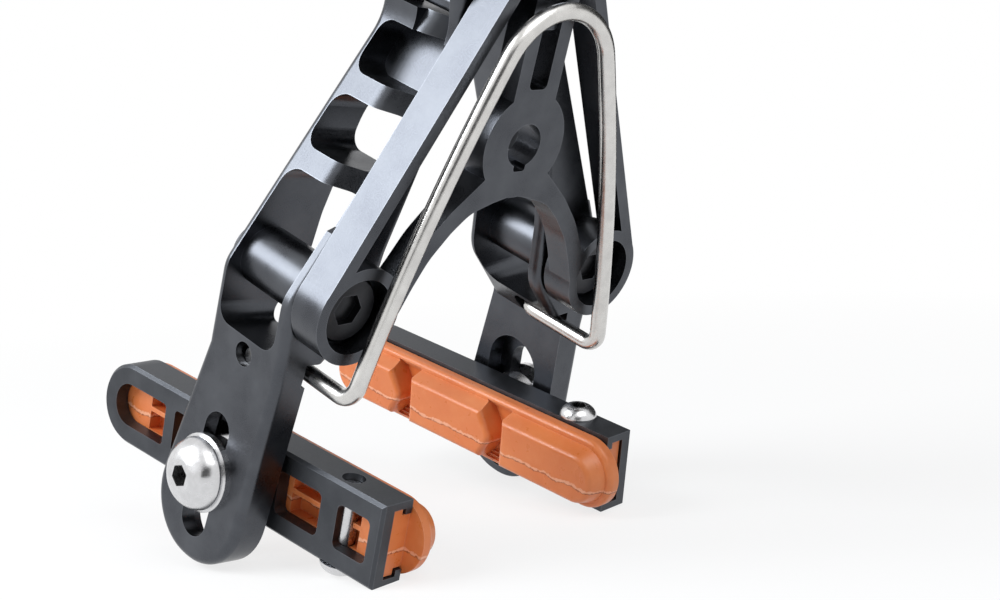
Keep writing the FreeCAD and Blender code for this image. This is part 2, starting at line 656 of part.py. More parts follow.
def pad_holder():
    """The channel that holds the pad, with windows in its outer plate."""
    shell = prism(stadium(HOLDER_HALF, HOLDER_FRONT), "x", 0, HOLDER_DEPTH)
    shell = chamfer_where(shell, HOLDER_BEVEL, lambda edge: at_level(edge, "x", 0))
    inside = HOLDER_HALF - HOLDER_FLANGE
    mouth = inside - HOLDER_LIP_REACH
    window = HOLDER_WINDOW_HEIGHT / 2
    cuts = [
        prism(stadium(inside, HOLDER_FRONT - 5), "x", HOLDER_PLATE, HOLDER_DEPTH - HOLDER_LIP),
        prism(stadium(mouth, HOLDER_FRONT - 5), "x", HOLDER_PLATE, HOLDER_DEPTH + 1),
        rod(PAD_BOLT_RADIUS + TILT_CLEARANCE, Vector(-1, 0, 0), X_AXIS, HOLDER_PLATE + 2),
        prism(rectangle(*REAR_SLOT, -window, window, 0.6), "x", -1, HOLDER_PLATE + 1),
        prism([(REAR_WINDOW_START, -window, 0.6), (HOLDER_END + window, -window, window * 0.98),
               (HOLDER_END + window, window, window * 0.98), (REAR_WINDOW_START, window, 0.6)],
              "x", -1, HOLDER_PLATE + 1),
    ]
    for start, stop in FRONT_WINDOWS:
        cuts.append(prism(rectangle(start, stop, -window, window, 0.9), "x", -1, HOLDER_PLATE + 1))
    cuts.append(rod(PAD_SCREW_RADIUS + BOLT_CLEARANCE, Vector(PAD_SCREW_D, PAD_SCREW_S, -HOLDER_HALF - 1),
                    Z_AXIS, HOLDER_HEIGHT + 2))
    return shell.cut(cuts)


def pad_groove(tip, half_height, floor):
    """A groove across the pad: straight in front, and a point behind that looks to the front."""
    front = tip - PAD_GROOVE_WIDTH
    low = tip + PAD_GROOVE_RATIO * (half_height - PAD_GROOVE_DROP)
    high = tip + PAD_GROOVE_RATIO * (half_height + PAD_GROOVE_DROP)
    point = (tip, -PAD_GROOVE_DROP, PAD_FACE_ROUND * 1.6)
    outline = [(front, -half_height, 0), (low, -half_height, 0), point, (high, half_height, 0),
               (front, half_height, 0)]
    return prism(outline, "x", floor, PAD_FACE_DEPTH + 1)


def pad_pocket(start, stop):
    """A pocket in the pad's back, in two halves with a rib between them."""
    floor = HOLDER_PLATE + PAD_CLEARANCE + PAD_POCKET_DEPTH
    low = PAD_RIB / 2
    upper = prism(rectangle(start, stop, low, PAD_POCKET_HALF_HEIGHT), "x", HOLDER_PLATE, floor)
    lower = prism(rectangle(start, stop, -PAD_POCKET_HALF_HEIGHT, -low), "x", HOLDER_PLATE, floor)
    return [upper, lower]


def pad_section(half, level, drop=0.0):
    """One outline of the pad's raised part, half round at both ends."""
    front = HOLDER_FRONT - PAD_NOSE + PAD_BEAD_HALF_HEIGHT
    place = in_plane("x", level)
    points = [(front, -half), (HOLDER_END, -half), (HOLDER_END + half, 0), (HOLDER_END, half), (front, half),
              (front - half, 0)]
    a, b, c, d, e, f = (place(along, up - drop) for along, up in points)
    return Part.Wire([Part.LineSegment(a, b).toShape(), Part.Arc(b, c, d).toShape(),
                      Part.LineSegment(d, e).toShape(), Part.Arc(e, f, a).toShape()])


def brake_pad():
    """Rubber pad: a base that slides in the channel, a round bead and three blocks parted by the grooves."""
    inside = HOLDER_HALF - HOLDER_FLANGE
    back = HOLDER_PLATE + PAD_CLEARANCE
    lip_back = HOLDER_DEPTH - HOLDER_LIP - PAD_CLEARANCE
    block = HOLDER_DEPTH + PAD_CLEARANCE
    shoulder = block + PAD_BEAD_THICKNESS
    front = HOLDER_FRONT + 0.4
    rim = PAD_BEAD_HALF_HEIGHT - PAD_BLOCK_SET_IN
    base = prism(stadium(inside, front, PAD_CLEARANCE), "x", back, lip_back)
    neck = prism(stadium(inside - HOLDER_LIP_REACH, front, PAD_CLEARANCE), "x", back, block)
    bead = Part.makeLoft([pad_section(PAD_BEAD_HALF_HEIGHT, block),
                          pad_section(PAD_BEAD_HALF_HEIGHT, shoulder)], True, True)
    bead = fillet_where(bead, PAD_BEAD_ROUND, lambda edge: at_level(edge, "x", shoulder))
    face = Part.makeLoft([pad_section(rim, block + PAD_BEAD_THICKNESS / 2),
                          pad_section(PAD_FACE_HALF_HEIGHT, PAD_FACE_DEPTH, PAD_FACE_DROP)], True, True)
    face = face.cut([pad_groove(tip, 2 * rim, block) for tip in PAD_GROOVES])
    face = fillet_where(face, PAD_FACE_ROUND, lambda edge: at_level(edge, "x", PAD_FACE_DEPTH))
    pad = base.fuse([neck, bead, face]).removeSplitter()
    cuts = [rod(PAD_SCREW_RADIUS + PAD_CLEARANCE, Vector(PAD_SCREW_D, PAD_SCREW_S, -HOLDER_HALF), Z_AXIS,
                HOLDER_HEIGHT)]
    for tip in PAD_GROOVES:
        for step in (0, 1, 2):
            sunk = step * PAD_GROOVE_STEP
            cuts.append(pad_groove(tip, rim - sunk, shoulder - PAD_GROOVE_STEP - sunk))
    for start, stop in PAD_POCKETS:
        cuts.extend(pad_pocket(start, stop))
    return pad.cut(cuts)


def pad_screw(setting):
    """The small screw through both flanges that keeps the pad from sliding out."""
    length = HOLDER_HEIGHT - PAD_SCREW_END_GAP
    screw = button_bolt(PAD_SCREW_HEAD_RADIUS, PAD_SCREW_HEAD_HEIGHT, PAD_SCREW_RADIUS, length,
                        PAD_SCREW_SOCKET, PAD_SCREW_HEAD_HEIGHT * 0.6)
    if setting.screw_side > 0:
        screw.rotate(Vector(0, 0, 0), X_AXIS, 180)
    screw.translate(Vector(PAD_SCREW_D, PAD_SCREW_S, setting.screw_side * HOLDER_HALF))
    return screw


def pad_bolt(setting):
    """Bolt along -U from its head outside the blade to the holder's plate."""
    head_under = BLADE_OUTER + BOLT_WASHER_THICKNESS
    length = head_under - HOLDER_OUTER_U + HOLDER_PLATE
    bolt = button_bolt(PAD_HEAD_RADIUS, PAD_HEAD_HEIGHT, PAD_BOLT_RADIUS, length, PAD_SOCKET,
                       PAD_SOCKET_DEPTH)
    bolt.Placement = FreeCAD.Placement(Vector(head_under, PAD_BOLT_Y, setting.height),
                                       FreeCAD.Rotation(Z_AXIS, X_AXIS * -1))
    return put_on_arm(bolt)


def bolt_washer(setting):
    base = Vector(BLADE_OUTER, PAD_BOLT_Y, setting.height)
    outer_face = BLADE_OUTER + BOLT_WASHER_THICKNESS
    washer = rod(BOLT_WASHER_RADIUS, base, X_AXIS, BOLT_WASHER_THICKNESS)
    washer = chamfer_where(washer, 0.25, lambda edge: at_level(edge, "x", outer_face))
    hole = rod(PAD_BOLT_RADIUS + LOCATING_FIT, base, X_AXIS, BOLT_WASHER_THICKNESS)
    return put_on_arm(washer.cut(hole))


def seat_washer(setting):
    """Hollow washer against the step of the wide slot."""
    step = BLADE_OUTER - SLOT_FLANGE
    low = HOLDER_OUTER_U + DOME_WASHER_EDGE + SEAT_LIFT
    base = Vector(low, PAD_BOLT_Y, setting.height)
    washer = tube(SEAT_WASHER_RADIUS, PAD_BOLT_RADIUS + LOCATING_FIT, base, X_AXIS, step - low)
    hollow = Part.makeSphere(DOME_SPHERE_RADIUS + DOME_CLEARANCE, ball_centre(setting))
    return put_on_arm(washer.cut(hollow))


def domed_washer(setting):
    """Washer between seat and holder, domed towards the arm. Drawn in holder axes."""
    base = Vector(0, 0, 0)
    height = DOME_WASHER_EDGE + dome_rise()
    washer = rod(DOME_WASHER_RADIUS, base, X_AXIS * -1, height)
    ball = Part.makeSphere(DOME_SPHERE_RADIUS, Vector(DOME_SPHERE_RADIUS - height, 0, 0))
    hole = rod(PAD_BOLT_RADIUS + TILT_CLEARANCE, base, X_AXIS * -1, height)
    return put_on_holder(washer.common(ball).cut(hole), setting)


def roller_pin():
    start = Vector(ROLLER_U, ARM_FRONT, ROLLER_W)
    return put_on_arm(rod(ROLLER_PIN_RADIUS, start, Y_AXIS, ARM_DEPTH))


def cam_roller():
    start = Vector(ROLLER_U, ARM_FRONT + WALL + CAM_GAP, ROLLER_W)
    length = ARM_DEPTH - 2 * (WALL + CAM_GAP)
    roller = tube(ROLLER_RADIUS, ROLLER_PIN_RADIUS + RUNNING_FIT, start, Y_AXIS, length)
    return put_on_arm(roller)


def roller_centre():
    turn = FreeCAD.Rotation(Y_AXIS, -REST_ANGLE)
    return turn.multVec(Vector(ROLLER_U, 0, ROLLER_W)) + PIVOT


def cam_levels():
    """Top of the cam, top of its skirt and its foot, from where its flanks touch the rollers."""
    flank = math.radians(CAM_FLANK_ANGLE)
    centre = roller_centre()
    reach = ROLLER_RADIUS + CAM_GAP
    apex = centre.z + centre.x / math.tan(flank) - reach / math.sin(flank)
    top = apex - CAM_TOP_HALF_WIDTH / math.tan(flank)
    skirt = apex - CAM_BOTTOM_HALF_WIDTH / math.tan(flank)
    return top, skirt, skirt - CAM_SKIRT


def cable_cam():
    """The wedge that the cable pulls up between the rollers, with a tongue in the stem's slot."""
    top, skirt, foot = cam_levels()
    narrow = CAM_TOP_HALF_WIDTH
    wide = CAM_BOTTOM_HALF_WIDTH
    outline = [(narrow, top, 0.6), (wide, skirt, 0.6), (wide, foot, 0.6),
               (-wide, foot, 0.6), (-wide, skirt, 0.6), (-narrow, top, 0.6)]
    front = ARM_MIDDLE - CAM_THICKNESS / 2
    cam = prism(outline, "y", front, front + CAM_THICKNESS)
    half = STEM_SLOT_WIDTH / 2 - SLIDE_FIT
    tongue = prism(rectangle(-half, half, foot + 1.0, foot + 1.0 + TONGUE_HEIGHT, 0.6), "y", 0.6, front + 1)
    cable = rod(CABLE_RADIUS, Vector(0, ARM_MIDDLE, foot - 1), Z_AXIS, top - foot + 2)
    anchor = anchor_axis()
    hole = rod(ANCHOR_BOLT_RADIUS + LOCATING_FIT, Vector(0, ARM_MIDDLE, anchor.z), Y_AXIS, CAM_THICKNESS)
    return cam.fuse(tongue).cut([cable, hole])


def anchor_axis():
    top, skirt, foot = cam_levels()
    return Vector(0, ARM_MIDDLE + CAM_THICKNESS / 2, (skirt + foot) / 2 + 1.2)


def cable_anchor_bolt():
    """Cap screw in the back of the cam that pinches the cable."""
    seat = anchor_axis()
    tip = CAM_THICKNESS / 2 - CABLE_RADIUS
    bolt = rod(ANCHOR_HEAD_RADIUS, seat, Y_AXIS, ANCHOR_HEAD_HEIGHT)
    bolt = chamfer_where(bolt, 0.4, lambda edge: at_level(edge, "y", seat.y + ANCHOR_HEAD_HEIGHT))
    bolt = bolt.fuse(rod(ANCHOR_BOLT_RADIUS, seat - Y_AXIS * tip, Y_AXIS, tip))
    socket = hexagon(ANCHOR_SOCKET, seat + Y_AXIS * (ANCHOR_HEAD_HEIGHT * 0.4), Y_AXIS, ANCHOR_HEAD_HEIGHT)
    return bolt.cut(socket).removeSplitter()


def knurled(radius, base, height):
    """A round grip about the vertical with shallow flutes round it."""
    grip = rod(radius, base, Z_AXIS, height)
    ends = (base.z, base.z + height)
    grip = chamfer_where(grip, 0.4, lambda edge: any(at_level(edge, "z", end) for end in ends))
    flutes = []
    for index in range(KNURL_COUNT):
        angle = 2 * math.pi * index / KNURL_COUNT
        reach = radius + KNURL_DEPTH
        spot = base + Vector(reach * math.cos(angle), reach * math.sin(angle), -1)
        flutes.append(rod(2 * KNURL_DEPTH, spot, Z_AXIS, height + 2))
    return grip.cut(flutes)


def lock_ring():
    base = Vector(0, ARM_MIDDLE, CROWN_TOP)
    ring = knurled(LOCK_RING_RADIUS, base, LOCK_RING_HEIGHT)
    return ring.cut(rod(ADJUSTER_RADIUS + LOCATING_FIT, base, Z_AXIS, LOCK_RING_HEIGHT))


def barrel_adjuster():
    """Hollow screw in the crown that the cable housing stands in."""
    head_base = Vector(0, ARM_MIDDLE, CROWN_TOP + LOCK_RING_HEIGHT + CAM_GAP)
    thread_base = Vector(0, ARM_MIDDLE, CROWN_BOTTOM)
    adjuster = knurled(ADJUSTER_HEAD_RADIUS, head_base, ADJUSTER_HEAD_HEIGHT)
    adjuster = adjuster.fuse(rod(ADJUSTER_RADIUS, thread_base, Z_AXIS, head_base.z - thread_base.z))
    length = head_base.z + ADJUSTER_HEAD_HEIGHT - thread_base.z
    cable = rod(CABLE_RADIUS + BOLT_CLEARANCE, thread_base, Z_AXIS, length)
    socket_floor = head_base + Z_AXIS * (ADJUSTER_HEAD_HEIGHT - HOUSING_DEPTH)
    housing = rod(HOUSING_RADIUS + BOLT_CLEARANCE, socket_floor, Z_AXIS, HOUSING_DEPTH)
    return adjuster.cut([cable, housing])


def side_pieces(name, side, setting):
    """Every piece of one arm, by name. The left side is the mirror image of the right."""
    rear_bush = ARM_BACK - BUSH_LENGTH
    pieces = {
        "arm": right_arm(),
        "pivot_bolt": pivot_bolt(),
        "front_bush": pivot_bush(ARM_FRONT),
        "rear_bush": pivot_bush(rear_bush),
        "front_thrust_washer": thrust_washer(THRUST_WASHER_RADIUS, FRAME_DEPTH + SIDE_PLAY,
                                             ARM_GAP - 2 * SIDE_PLAY),
        "rear_thrust_washer": thrust_washer(REAR_WASHER_RADIUS, ARM_BACK + SIDE_PLAY, REAR_WASHER_THICKNESS),
        "pivot_nut": pivot_nut(),
        "pad_bolt": pad_bolt(setting),
        "bolt_washer": bolt_washer(setting),
        "seat_washer": seat_washer(setting),
        "domed_washer": domed_washer(setting),
        "pad_holder": put_on_holder(pad_holder(), setting),
        "brake_pad": put_on_holder(brake_pad(), setting),
        "pad_screw": put_on_holder(pad_screw(setting), setting),
        "roller_pin": roller_pin(),
        "cam_roller": cam_roller(),
    }
    return {name + "_" + key: mirrored(solid) if side < 0 else solid for key, solid in pieces.items()}


def main():
    os.makedirs("parts", exist_ok=True)
    nodes = {
        "bridge_frame": bridge_frame(),
        "return_spring": return_spring(),
        "cable_cam": cable_cam(),
        "cable_anchor_bolt": cable_anchor_bolt(),
        "adjuster_lock_ring": lock_ring(),
        "barrel_adjuster": barrel_adjuster(),
    }
    nodes.update(side_pieces("right", 1, RIGHT_PAD))
    nodes.update(side_pieces("left", -1, LEFT_PAD))
    for name, solid in nodes.items():
        solid.exportStep(os.path.join("parts", name + ".step"))


main()
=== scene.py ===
import math

import bmesh
import bpy
from mathutils import Matrix, Vector


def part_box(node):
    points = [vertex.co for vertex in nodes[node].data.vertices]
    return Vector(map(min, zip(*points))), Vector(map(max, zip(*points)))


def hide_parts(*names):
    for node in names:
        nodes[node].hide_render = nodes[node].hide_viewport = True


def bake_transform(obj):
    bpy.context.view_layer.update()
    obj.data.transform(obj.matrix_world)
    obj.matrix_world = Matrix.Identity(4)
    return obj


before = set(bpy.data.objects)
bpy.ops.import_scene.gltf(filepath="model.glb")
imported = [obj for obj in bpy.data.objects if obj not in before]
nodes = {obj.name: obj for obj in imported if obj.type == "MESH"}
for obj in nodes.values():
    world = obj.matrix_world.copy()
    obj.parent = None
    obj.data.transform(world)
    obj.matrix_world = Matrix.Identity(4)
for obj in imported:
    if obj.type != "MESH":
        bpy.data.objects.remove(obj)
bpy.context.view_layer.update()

MM = 0.001

# The spring's wire, in millimetres, as the solid has it
WIRE_RADIUS = 1.2
WIRE_Y = -2.3
SPRING_TOP = 19.4
SPRING_TOP_RADIUS = 10.2
SPRING_SHOULDER = 23.0
SPRING_LEG_RADIUS = 260.0
SPRING_LEG_END = 12.8
SPRING_TAIL = 2.7
SPRING_BEND = 2.6
SPRING_HOOK_Y = 13.4
SPRING_TIP_X = 29.0
WIRE_SIDES = 20

# Steps along the parts of the wire's centre line
TOP_STEPS = 24
LEG_STEPS = 40
BEND_STEPS = 10
RUN_STEPS = 12

# The arms and the pads on them, in millimetres and degrees, for the direction of bolts, screws and mould seams
ARM_OPENING = 6.1
ARM_PIVOT = Vector((23.8, 0.0, -22.0))
HOLDER_OUTER_U = -0.7
PAD_BALL_U = -6.545
PAD_BOLT_Y = 14.7
PAD_SETTINGS = {"left": (-30.1, 6.0, 3.2, 2.7), "right": (-30.9, 8.4, -0.3, 2.7)}
SEAM_HEIGHT = -1.3

# Camera, in millimetres
CAMERA_PLACE = Vector((-160.25, -138.86, 65.49))
CAMERA_FORWARD = Vector((0.70275, 0.59934, -0.38332))
CAMERA_RIGHT = Vector((0.69916, -0.68147, 0.21627))
CAMERA_LENS = 59.51
CAMERA_SENSOR = 36.0

# Floor: it touches the front corners of both pad holders and the arms' round ends
FLOOR_POINT = Vector((0.0, -13.6, -55.4))
FLOOR_UP = Vector((0.0, 0.365, 0.931)).normalized()
FLOOR_SIZE = 3000.0
FLOOR_COLOUR = (0.88, 0.88, 0.88, 1.0)

# The floor's white glow: its share near the object, and where it fades to full, in metres
GLOW_NEAR = 0.78
GLOW_FADE = (0.06, 0.26)

# Lamps and dark cards, in millimetres and watts
KEY_PLACE = Vector((-330.0, 270.0, 170.0))
KEY_SIZE = 290
KEY_POWER = 2.3
KEY_COLOUR = (0.94, 0.97, 1.0)
TOP_PLACE = Vector((-40.0, -120.0, 420.0))
TOP_SIZE = 300
TOP_POWER = 0.75
RIGHT_CARD_PLACE = Vector((330.0, 60.0, 60.0))
RIGHT_CARD_SIZE = 460
CAMERA_CARD_PLACE = Vector((-215.0, -186.0, 88.0))
CAMERA_CARD_SIZE = 210
CARD_COLOUR = (0.01, 0.01, 0.01, 1.0)
FILL_COLOUR = (0.93, 0.96, 1.0, 1.0)
FILL_STRENGTH = 0.4
WHITE = (1, 1, 1, 1)

# Colours
RUBBED_EDGE = (0.34, 0.36, 0.40)
STEEL = (0.70, 0.70, 0.71)
STEEL_SMUDGE = 0.86
SOCKET_PAINTED_SHADE = (0.06, 0.06, 0.06)
WIRE_TONES = ((0.58, 0.57, 0.555), (0.70, 0.69, 0.67))
BRONZE_TONES = ((0.30, 0.19, 0.09), (0.55, 0.37, 0.19))
RUBBER_TONES = ((0.64, 0.160, 0.040), (0.71, 0.216, 0.066))
RUBBER_DUST = (0.74, 0.27, 0.11)
RUBBER_EDGE_HIGHLIGHT = (0.80, 0.40, 0.23)
SEAM_SHADE = (0.27, 0.055, 0.015)
SEAM_FLASH_HIGHLIGHT = (0.88, 0.46, 0.29)


def new_material(name):
    material = bpy.data.materials.new(name)
    material.use_nodes = True
    tree = material.node_tree
    return material, tree, tree.nodes["Principled BSDF"]


def add(tree, kind, inputs=None, **settings):
    node = tree.nodes.new(kind)
    for key, value in settings.items():
        setattr(node, key, value)
    for key, value in (inputs or {}).items():
        node.inputs[key].default_value = value
    return node


def millimetres(tree, stretch=(1, 1, 1)):
    """Object coordinates in millimetres, so that a pattern keeps its real size and moves with its piece."""
    coords = add(tree, "ShaderNodeTexCoord")
    mapping = add(tree, "ShaderNodeMapping", {"Scale": tuple(1000 * s for s in stretch)})
    tree.links.new(coords.outputs["Object"], mapping.inputs["Vector"])
    return mapping.outputs["Vector"]


def noise(tree, vector, scale, detail=3.0, roughness=0.55):
    node = add(tree, "ShaderNodeTexNoise", {"Scale": scale, "Detail": detail, "Roughness": roughness})
    tree.links.new(vector, node.inputs["Vector"])
    return node.outputs["Fac"]


def ramp(tree, value, stops):
    node = add(tree, "ShaderNodeValToRGB")
    elements = node.color_ramp.elements
    while len(elements) < len(stops):
        elements.new(0.5)
    for element, (place, colour) in zip(elements, stops):
        element.position = place
        element.color = (*colour, 1.0)
    tree.links.new(value, node.inputs["Fac"])
    return node.outputs["Color"]


def remap(tree, value, low, high, to_low, to_high):
    limits = {"From Min": low, "From Max": high, "To Min": to_low, "To Max": to_high}
    node = add(tree, "ShaderNodeMapRange", limits)
    tree.links.new(value, node.inputs["Value"])
    return node.outputs["Result"]


def math_node(tree, operation, first, second):
    node = add(tree, "ShaderNodeMath", operation=operation)
    for socket, value in zip(node.inputs, (first, second)):
        if isinstance(value, (int, float)):
            socket.default_value = value
        else:
            tree.links.new(value, socket)
    return node.outputs["Value"]


def mix_colours(tree, factor, first, second):
    node = add(tree, "ShaderNodeMix", data_type="RGBA")
    tree.links.new(factor, node.inputs[0])
    for socket, value in ((node.inputs[6], first), (node.inputs[7], second)):
        if isinstance(value, tuple):
            socket.default_value = (*value, 1.0)
        else:
            tree.links.new(value, socket)
    return node.outputs[2]


def vector_math(tree, operation, first, second=None):
    node = add(tree, "ShaderNodeVectorMath", operation=operation)
    for socket, value in zip(node.inputs, (first, second)):
        if isinstance(value, bpy.types.NodeSocket):
            tree.links.new(value, socket)
        elif value is not None:
            socket.default_value = value
    return node


def seen_directly(tree):
    """1 for the camera's rays, mirrored ones and those through glass, 0 for light that spreads."""
    path = add(tree, "ShaderNodeLightPath")
    seen = math_node(tree, "MAXIMUM", path.outputs["Is Camera Ray"], path.outputs["Is Glossy Ray"])
    return math_node(tree, "MAXIMUM", seen, path.outputs["Is Transmission Ray"])


def bump(tree, height, distance_mm, strength=1.0, below=None):
    node = add(tree, "ShaderNodeBump", {"Strength": strength, "Distance": distance_mm * MM})
    tree.links.new(height, node.inputs["Height"])
    if below is not None:
        tree.links.new(below, node.inputs["Normal"])
    return node.outputs["Normal"]


def edge_mask(tree, radius_mm):
    """1 on sharp edges and 0 on flat faces, for rubbed corners on the metal and a painted highlight on the
    rubber's edges.
    """
    rounded = add(tree, "ShaderNodeBevel", {"Radius": radius_mm * MM}, samples=4)
    plain = add(tree, "ShaderNodeNewGeometry")
    dot = vector_math(tree, "DOT_PRODUCT", rounded.outputs["Normal"], plain.outputs["Normal"])
    return remap(tree, dot.outputs["Value"], 1.0, 0.8, 0.0, 1.0)


def painted_recess_shade(tree, reach_mm):
    """1 deep in a socket or a corner and 0 in the open, for painted shade there."""
    shelter = add(tree, "ShaderNodeAmbientOcclusion", {"Distance": reach_mm * MM}, samples=6, only_local=True)
    return remap(tree, shelter.outputs["AO"], 0.75, 0.30, 0.0, 1.0)


def anodised(name, dark, light, rough, grain_scale, grain_height, marks):
    """Black anodised aluminium: cloudy tone, fine grain, cutter marks across the depth and rubbed edges."""
    material, tree, shader = new_material(name)
    place = millimetres(tree)
    cloud = noise(tree, place, 0.16, 4.0)
    tone = ramp(tree, cloud, [(0.32, dark), (0.68, light)])
    wear_and_edge_highlight = math_node(tree, "MULTIPLY", edge_mask(tree, 0.22), noise(tree, place, 0.9, 3.0))
    tone = mix_colours(tree, math_node(tree, "MULTIPLY", wear_and_edge_highlight, 0.55), tone, RUBBED_EDGE)
    tree.links.new(tone, shader.inputs["Base Color"])
    lines = noise(tree, millimetres(tree, (0.03, 2.6, 0.03)), 1.0, 2.0)
    grain = noise(tree, place, grain_scale, 2.0)
    spread = math_node(tree, "ADD", remap(tree, cloud, 0.3, 0.7, rough - 0.05, rough + 0.05),
                       remap(tree, grain, 0.3, 0.7, -0.05, 0.05))
    tree.links.new(spread, shader.inputs["Roughness"])
    surface = bump(tree, lines, 0.012, marks)
    tree.links.new(bump(tree, grain, grain_height, 0.6, surface), shader.inputs["Normal"])
    shader.inputs["Metallic"].default_value = 1.0
    return material


def turned_steel(name, centre, axis, rough=0.24):
    """Bright steel with rings left by turning, about an axis given in millimetres."""
    material, tree, shader = new_material(name)
    place = millimetres(tree)
    offset = vector_math(tree, "SUBTRACT", place, centre).outputs["Vector"]
    along = vector_math(tree, "PROJECT", offset, axis).outputs["Vector"]
    across = vector_math(tree, "SUBTRACT", offset, along).outputs["Vector"]
    radius = vector_math(tree, "LENGTH", across)
    rings = add(tree, "ShaderNodeTexNoise", {"Scale": 7.0, "Detail": 2.0}, noise_dimensions="1D")
    tree.links.new(radius.outputs["Value"], rings.inputs["W"])
    smudge = noise(tree, place, 0.7, 4.0)
    tone = ramp(tree, smudge, [(0.3, tuple(STEEL_SMUDGE * c for c in STEEL)), (0.7, STEEL)])
    # Painted shade: sockets, corners and recesses on the steel are darkened through the occlusion mask
    tone = mix_colours(tree, painted_recess_shade(tree, 2.5), tone, SOCKET_PAINTED_SHADE)
    tree.links.new(tone, shader.inputs["Base Color"])
    tree.links.new(remap(tree, smudge, 0.3, 0.7, rough - 0.05, rough + 0.08), shader.inputs["Roughness"])
    surface = bump(tree, rings.outputs["Fac"], 0.004, 0.5)
    tree.links.new(surface, shader.inputs["Normal"])
    shader.inputs["Metallic"].default_value = 1.0
    return material


def drawn_wire():
    """Polished stainless wire with faint drawing lines along it."""
    material, tree, shader = new_material("drawn_stainless")
    uv = add(tree, "ShaderNodeUVMap", uv_map="wire")
    stretch = add(tree, "ShaderNodeMapping", {"Scale": (40.0, 0.25, 1.0)})
    tree.links.new(uv.outputs["UV"], stretch.inputs["Vector"])
    lines = noise(tree, stretch.outputs["Vector"], 1.0, 3.0)
    smudge = noise(tree, millimetres(tree), 0.5, 4.0)
    tone = ramp(tree, smudge, [(0.3, WIRE_TONES[0]), (0.7, WIRE_TONES[1])])
    tree.links.new(tone, shader.inputs["Base Color"])
    spread = math_node(tree, "ADD", remap(tree, smudge, 0.3, 0.7, 0.22, 0.30),
                       remap(tree, lines, 0.3, 0.7, -0.03, 0.03))
    tree.links.new(spread, shader.inputs["Roughness"])
    tree.links.new(bump(tree, lines, 0.003, 0.5), shader.inputs["Normal"])
    shader.inputs["Metallic"].default_value = 1.0
    return material


def bearing_bronze():
    material, tree, shader = new_material("bearing_bronze")
    place = millimetres(tree)
    pores = noise(tree, place, 5.0, 2.0)
    tone = ramp(tree, pores, [(0.35, BRONZE_TONES[0]), (0.6, BRONZE_TONES[1])])
    tree.links.new(tone, shader.inputs["Base Color"])
    tree.links.new(remap(tree, pores, 0.3, 0.7, 0.45, 0.30), shader.inputs["Roughness"])
    tree.links.new(bump(tree, pores, 0.01, 0.5), shader.inputs["Normal"])
    shader.inputs["Metallic"].default_value = 1.0
    return material


def pad_axes(side):
    """A pad's middle on its outer face, and its upward and lengthwise directions, at rest."""
    height, *tilts = PAD_SETTINGS[side]
    pitch, toe, camber = (math.radians(tilt) for tilt in tilts)
    turn = Matrix.Rotation(camber, 3, "Y") @ Matrix.Rotation(-toe, 3, "Z") @ Matrix.Rotation(-pitch, 3, "X")
    open_arm = Matrix.Rotation(-math.radians(ARM_OPENING), 3, "Y")
    ball = Vector((PAD_BALL_U, PAD_BOLT_Y, height))
    centre = open_arm @ (turn @ Vector((HOLDER_OUTER_U - PAD_BALL_U, 0, 0)) + ball) + ARM_PIVOT
    up = open_arm @ turn @ Vector((0, 0, 1))
    along = open_arm @ turn @ Vector((0, 1, 0))
    flip = Matrix.Diagonal((-1 if side == "left" else 1, 1, 1))
    return flip @ centre, flip @ up, flip @ along


def measure_along(tree, place, origin, direction):
    """Distance of a point from the origin along a direction, in millimetres."""
    dot = vector_math(tree, "DOT_PRODUCT", place, direction)
    return math_node(tree, "SUBTRACT", dot.outputs["Value"], origin.dot(direction))


def mould_seam(tree, place, side):
    """1 on the ragged flash line where the halves of the pad's mould met, which gets a painted highlight, and
    the same for its painted shadow below.
    """
    centre, up, along = pad_axes(side)
    height = measure_along(tree, place, centre, up)
    reach = add(tree, "ShaderNodeCombineXYZ")
    tree.links.new(measure_along(tree, place, centre, along), reach.inputs["X"])
    wander = remap(tree, noise(tree, reach.outputs["Vector"], 0.22, 1.0), 0.3, 0.7, -0.3, 0.3)
    ragged = remap(tree, noise(tree, place, 2.2, 4.0, 0.7), 0.3, 0.7, -0.16, 0.16)
    offset = math_node(tree, "ADD", math_node(tree, "SUBTRACT", height, SEAM_HEIGHT),
                       math_node(tree, "ADD", wander, ragged))
    torn = remap(tree, noise(tree, place, 0.8, 3.0), 0.42, 0.55, 0.10, 0.26)
    flash = math_node(tree, "LESS_THAN", math_node(tree, "ABSOLUTE", offset, 0.0), torn)
    below = math_node(tree, "ABSOLUTE", math_node(tree, "ADD", offset, 0.24), 0.0)
    shade = remap(tree, below, 0.05, 0.16, 1.0, 0.0)
    return flash, shade


